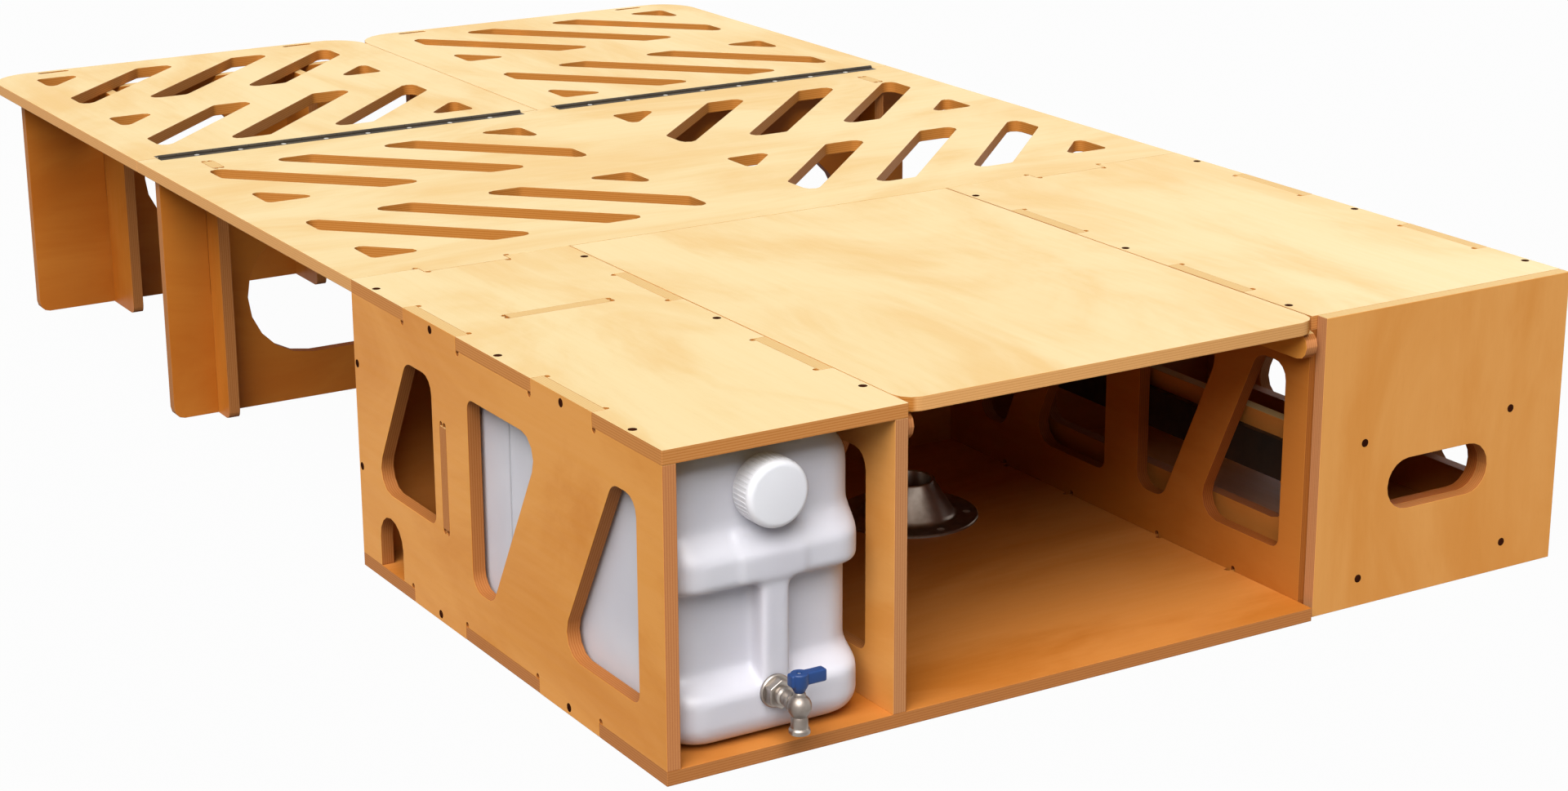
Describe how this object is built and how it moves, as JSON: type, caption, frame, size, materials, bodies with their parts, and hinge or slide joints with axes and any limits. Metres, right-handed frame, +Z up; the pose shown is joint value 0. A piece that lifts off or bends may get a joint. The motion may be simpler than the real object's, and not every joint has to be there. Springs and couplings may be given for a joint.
{
  "type": "camping box",
  "caption": "Plywood camper box with a water canister bay, an open bay under a loose lid, a drawer, and a slotted fold-out bed on plug-in legs.",
  "frame": {"origin": "on the ground, under the middle of the whole part's box", "axes": "+Z up, +Y from the bays towards the far end of the bed, +X to the drawer side"},
  "size_m": [1.15, 2.052, 0.3385],
  "materials": {
    "birch_plywood": "clear satin lacquer on birch plywood",
    "hinge_steel": "black painted piano hinge",
    "pin_steel": "drawn wire",
    "slide_steel": "zinc plated",
    "canister_plastic": "blow moulded, slightly translucent",
    "cap_plastic": "moulded",
    "tap_nickel": "nickel plated brass",
    "lever_plastic": "dipped plastic",
    "socket_chrome": "polished"
  },
  "bodies": {
    "carcass": {"bottom_panel": "birch_plywood", "left_side_panel": "birch_plywood", "left_divider": "birch_plywood", "right_divider": "birch_plywood", "right_side_panel": "birch_plywood", "back_panel": "birch_plywood", "canister_partition": "birch_plywood", "left_top_panel": "birch_plywood", "right_top_panel": "birch_plywood", "lid_cleat_left": "birch_plywood", "lid_cleat_right": "birch_plywood", "table_leg_socket": "socket_chrome", "drawer_slide_outer_left": "slide_steel", "drawer_slide_outer_right": "slide_steel"},
    "lid": {"lid": "birch_plywood"},
    "drawer": {"drawer_front": "birch_plywood", "drawer_inner_front": "birch_plywood", "drawer_left_side": "birch_plywood", "drawer_right_side": "birch_plywood", "drawer_back": "birch_plywood", "drawer_bottom": "birch_plywood", "drawer_slide_inner_left": "slide_steel", "drawer_slide_inner_right": "slide_steel"},
    "slide_middles": {"drawer_slide_middle_left": "slide_steel", "drawer_slide_middle_right": "slide_steel"},
    "canister": {"canister_body": "canister_plastic", "tap_nut": "tap_nickel", "tap_body": "tap_nickel"},
    "cap": {"canister_cap": "cap_plastic"},
    "tap_lever": {"tap_stem": "tap_nickel", "tap_lever": "lever_plastic"},
    "bed_near": {"bed_near_panel": "birch_plywood", "left_hinge_near_leaf": "hinge_steel", "left_hinge_pin": "pin_steel", "right_hinge_near_leaf": "hinge_steel", "right_hinge_pin": "pin_steel", "mid_leg_board": "birch_plywood", "mid_leg_stub_left": "birch_plywood", "mid_leg_stub_right": "birch_plywood"},
    "bed_far_left": {"bed_far_left_panel": "birch_plywood", "left_hinge_far_leaf": "hinge_steel"},
    "bed_far_right": {"bed_far_right_panel": "birch_plywood", "right_hinge_far_leaf": "hinge_steel"},
    "far_leg_left": {"far_leg_board_left": "birch_plywood", "far_leg_left_stub_1": "birch_plywood", "far_leg_left_stub_2": "birch_plywood"},
    "far_leg_right": {"far_leg_board_right": "birch_plywood", "far_leg_right_stub_1": "birch_plywood", "far_leg_right_stub_2": "birch_plywood"}
  },
  "joints": [
    {"name": "lid_lift", "type": "slide", "parent": "carcass", "child": "lid", "axis": [0, 0, 1], "range_m": [0, 0.1]},
    {"name": "drawer_pull", "type": "slide", "parent": "carcass", "child": "drawer", "axis": [0, -1, 0], "range_m": [0, 0.5]},
    {"name": "slide_middle_travel", "type": "slide", "parent": "carcass", "child": "slide_middles", "axis": [0, -1, 0], "range_m": [0, 0.25]},
    {"name": "canister_pull", "type": "slide", "parent": "carcass", "child": "canister", "axis": [0, -1, 0], "range_m": [0, 0.46]},
    {"name": "cap_turn", "type": "hinge", "parent": "canister", "child": "cap", "pos_m": [-0.447, -0.97, 0.267], "axis": [0, -1, 0], "range_deg": [0, 360]},
    {"name": "tap_turn", "type": "hinge", "parent": "canister", "child": "tap_lever", "pos_m": [-0.447, -1.014, 0.09], "axis": [0, 0, -1], "range_deg": [0, 90]},
    {"name": "bed_lift", "type": "slide", "parent": "carcass", "child": "bed_near", "axis": [0, 0, 1], "range_m": [0, 0.1]},
    {"name": "bed_fold_left", "type": "hinge", "parent": "bed_near", "child": "bed_far_left", "pos_m": [-0.287, 0.394, 0.3355], "axis": [1, 0, 0], "range_deg": [0, 180]},
    {"name": "bed_fold_right", "type": "hinge", "parent": "bed_near", "child": "bed_far_right", "pos_m": [0.287, 0.394, 0.3355], "axis": [1, 0, 0], "range_deg": [0, 180]},
    {"name": "far_leg_left_out", "type": "slide", "parent": "carcass", "child": "far_leg_left", "axis": [0, 1, 0], "range_m": [0, 0.3]},
    {"name": "far_leg_right_out", "type": "slide", "parent": "carcass", "child": "far_leg_right", "axis": [0, 1, 0], "range_m": [0, 0.3]}
  ],
  "couplings": [
    {"joint": "slide_middle_travel", "follows": "drawer_pull", "ratio": 0.5}
  ]
}
